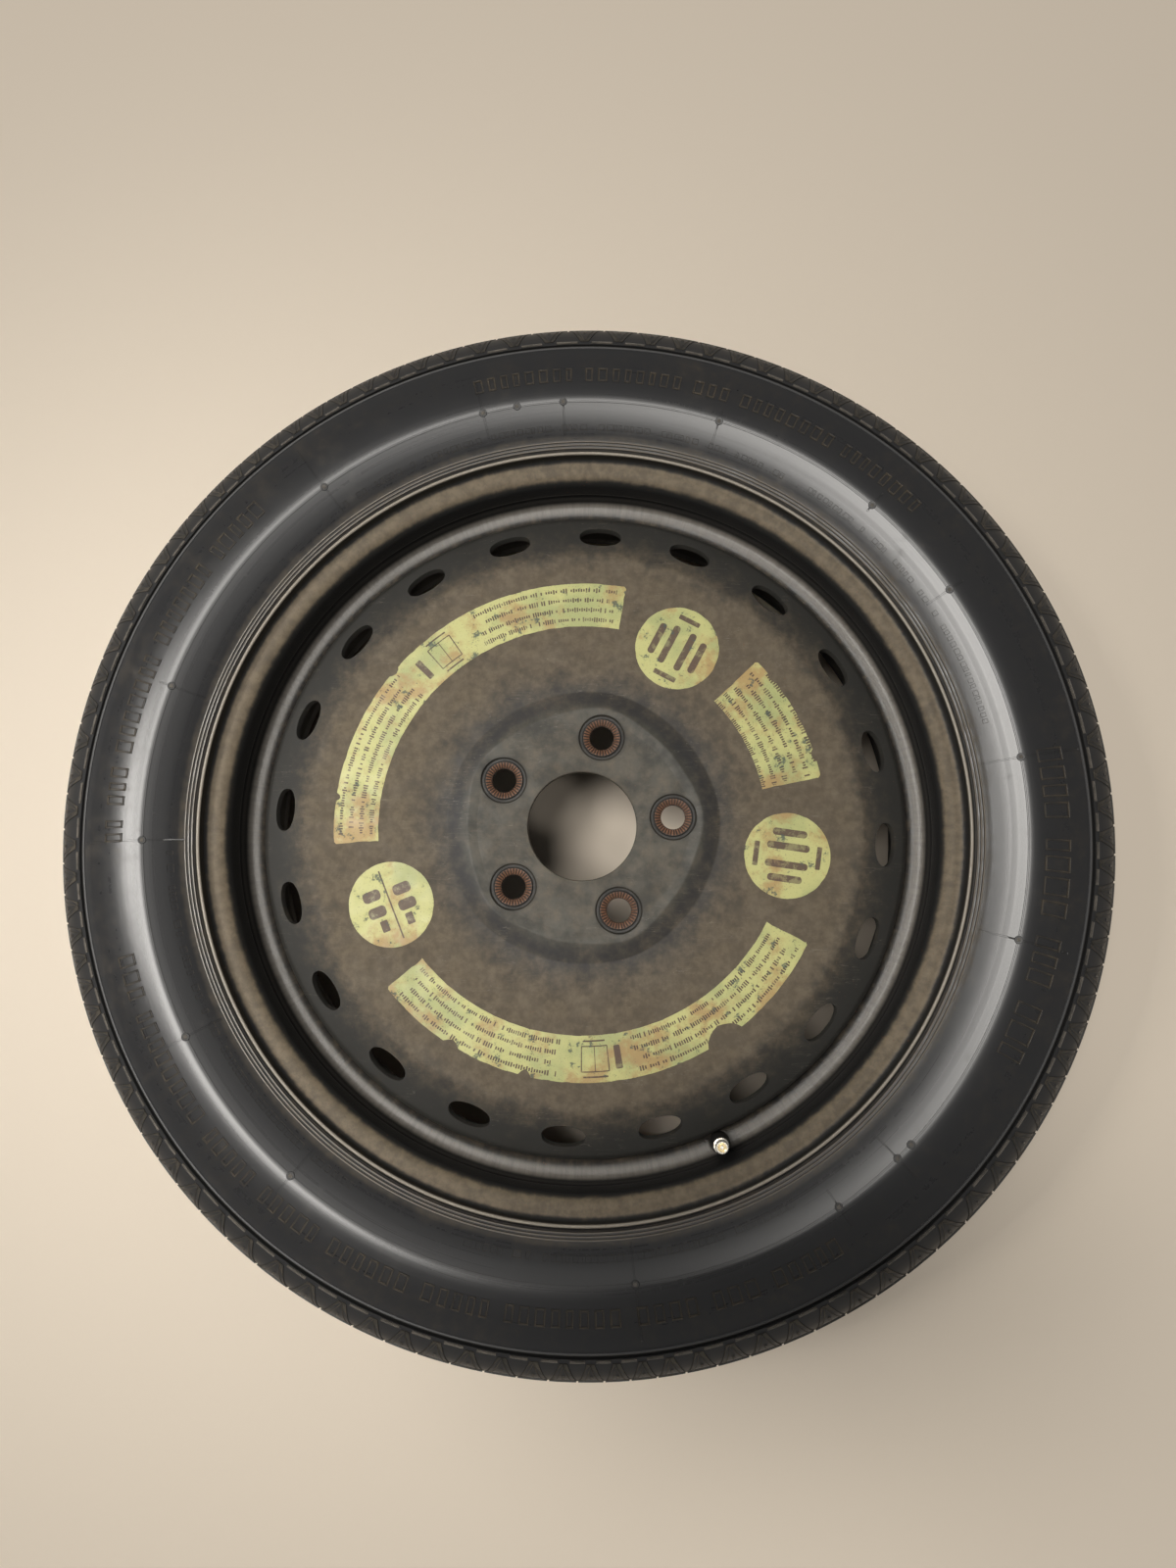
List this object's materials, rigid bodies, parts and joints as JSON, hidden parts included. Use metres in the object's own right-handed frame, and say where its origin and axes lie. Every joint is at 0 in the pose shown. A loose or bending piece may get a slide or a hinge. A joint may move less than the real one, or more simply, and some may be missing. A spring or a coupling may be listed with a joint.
{
  "type": "temporary spare wheel with tyre",
  "caption": "Narrow temporary spare tyre mounted on a pressed steel wheel with bolt seats, vent holes, curved film labels and a sprung snap-in valve.",
  "frame": {"origin": "centre of the wheel, on its axis and halfway between the two rim flanges", "axes": "+Z along the wheel axis towards the outer face, which carries the labels; +X and +Y in the wheel plane, with a bolt hole 5.5 degrees from +X"},
  "size_m": [0.6486, 0.6486, 0.1548],
  "materials": {
    "tyre_rubber": "satin black rubber, dusty brown next to the rim",
    "rim_paint": "black paint with a brown haze of dust and rust",
    "disc_paint": "matt black paint under brown dust, dark grey hub plate, rusty bolt seats",
    "weld_metal": "rough painted weld",
    "label_film": "yellow-green film with stains and worn edges",
    "valve_rubber": "black moulded rubber",
    "valve_metal": "bright plated brass with a fine thread",
    "core_metal": "turned brass",
    "core_seal": "red sealing ring",
    "spring_steel": "drawn wire"
  },
  "bodies": {
    "wheel": {"tyre": "tyre_rubber", "rim": "rim_paint", "wheel_disc": "disc_paint", "weld_beads": "weld_metal", "arc_label_left": "label_film", "arc_label_bottom": "label_film", "arc_label_right": "label_film", "round_label_top": "label_film", "round_label_right": "label_film", "round_label_left": "label_film", "valve_rubber": "valve_rubber", "valve_stem": "valve_metal", "core_plug": "core_metal", "core_barrel": "core_metal", "core_barrel_seal": "core_seal", "core_spring": "spring_steel"},
    "valve_pin": {"core_pin": "core_metal", "core_cup": "core_metal", "core_cup_seal": "core_seal"}
  },
  "joints": [
    {"name": "valve_pin_press", "type": "slide", "parent": "wheel", "child": "valve_pin", "axis": [0.0417, -0.0959, -0.9945], "range_m": [0, 0.0016], "stiffness_N_per_m": 400, "springref_m": -0.002, "deforming": ["core_spring"]}
  ]
}
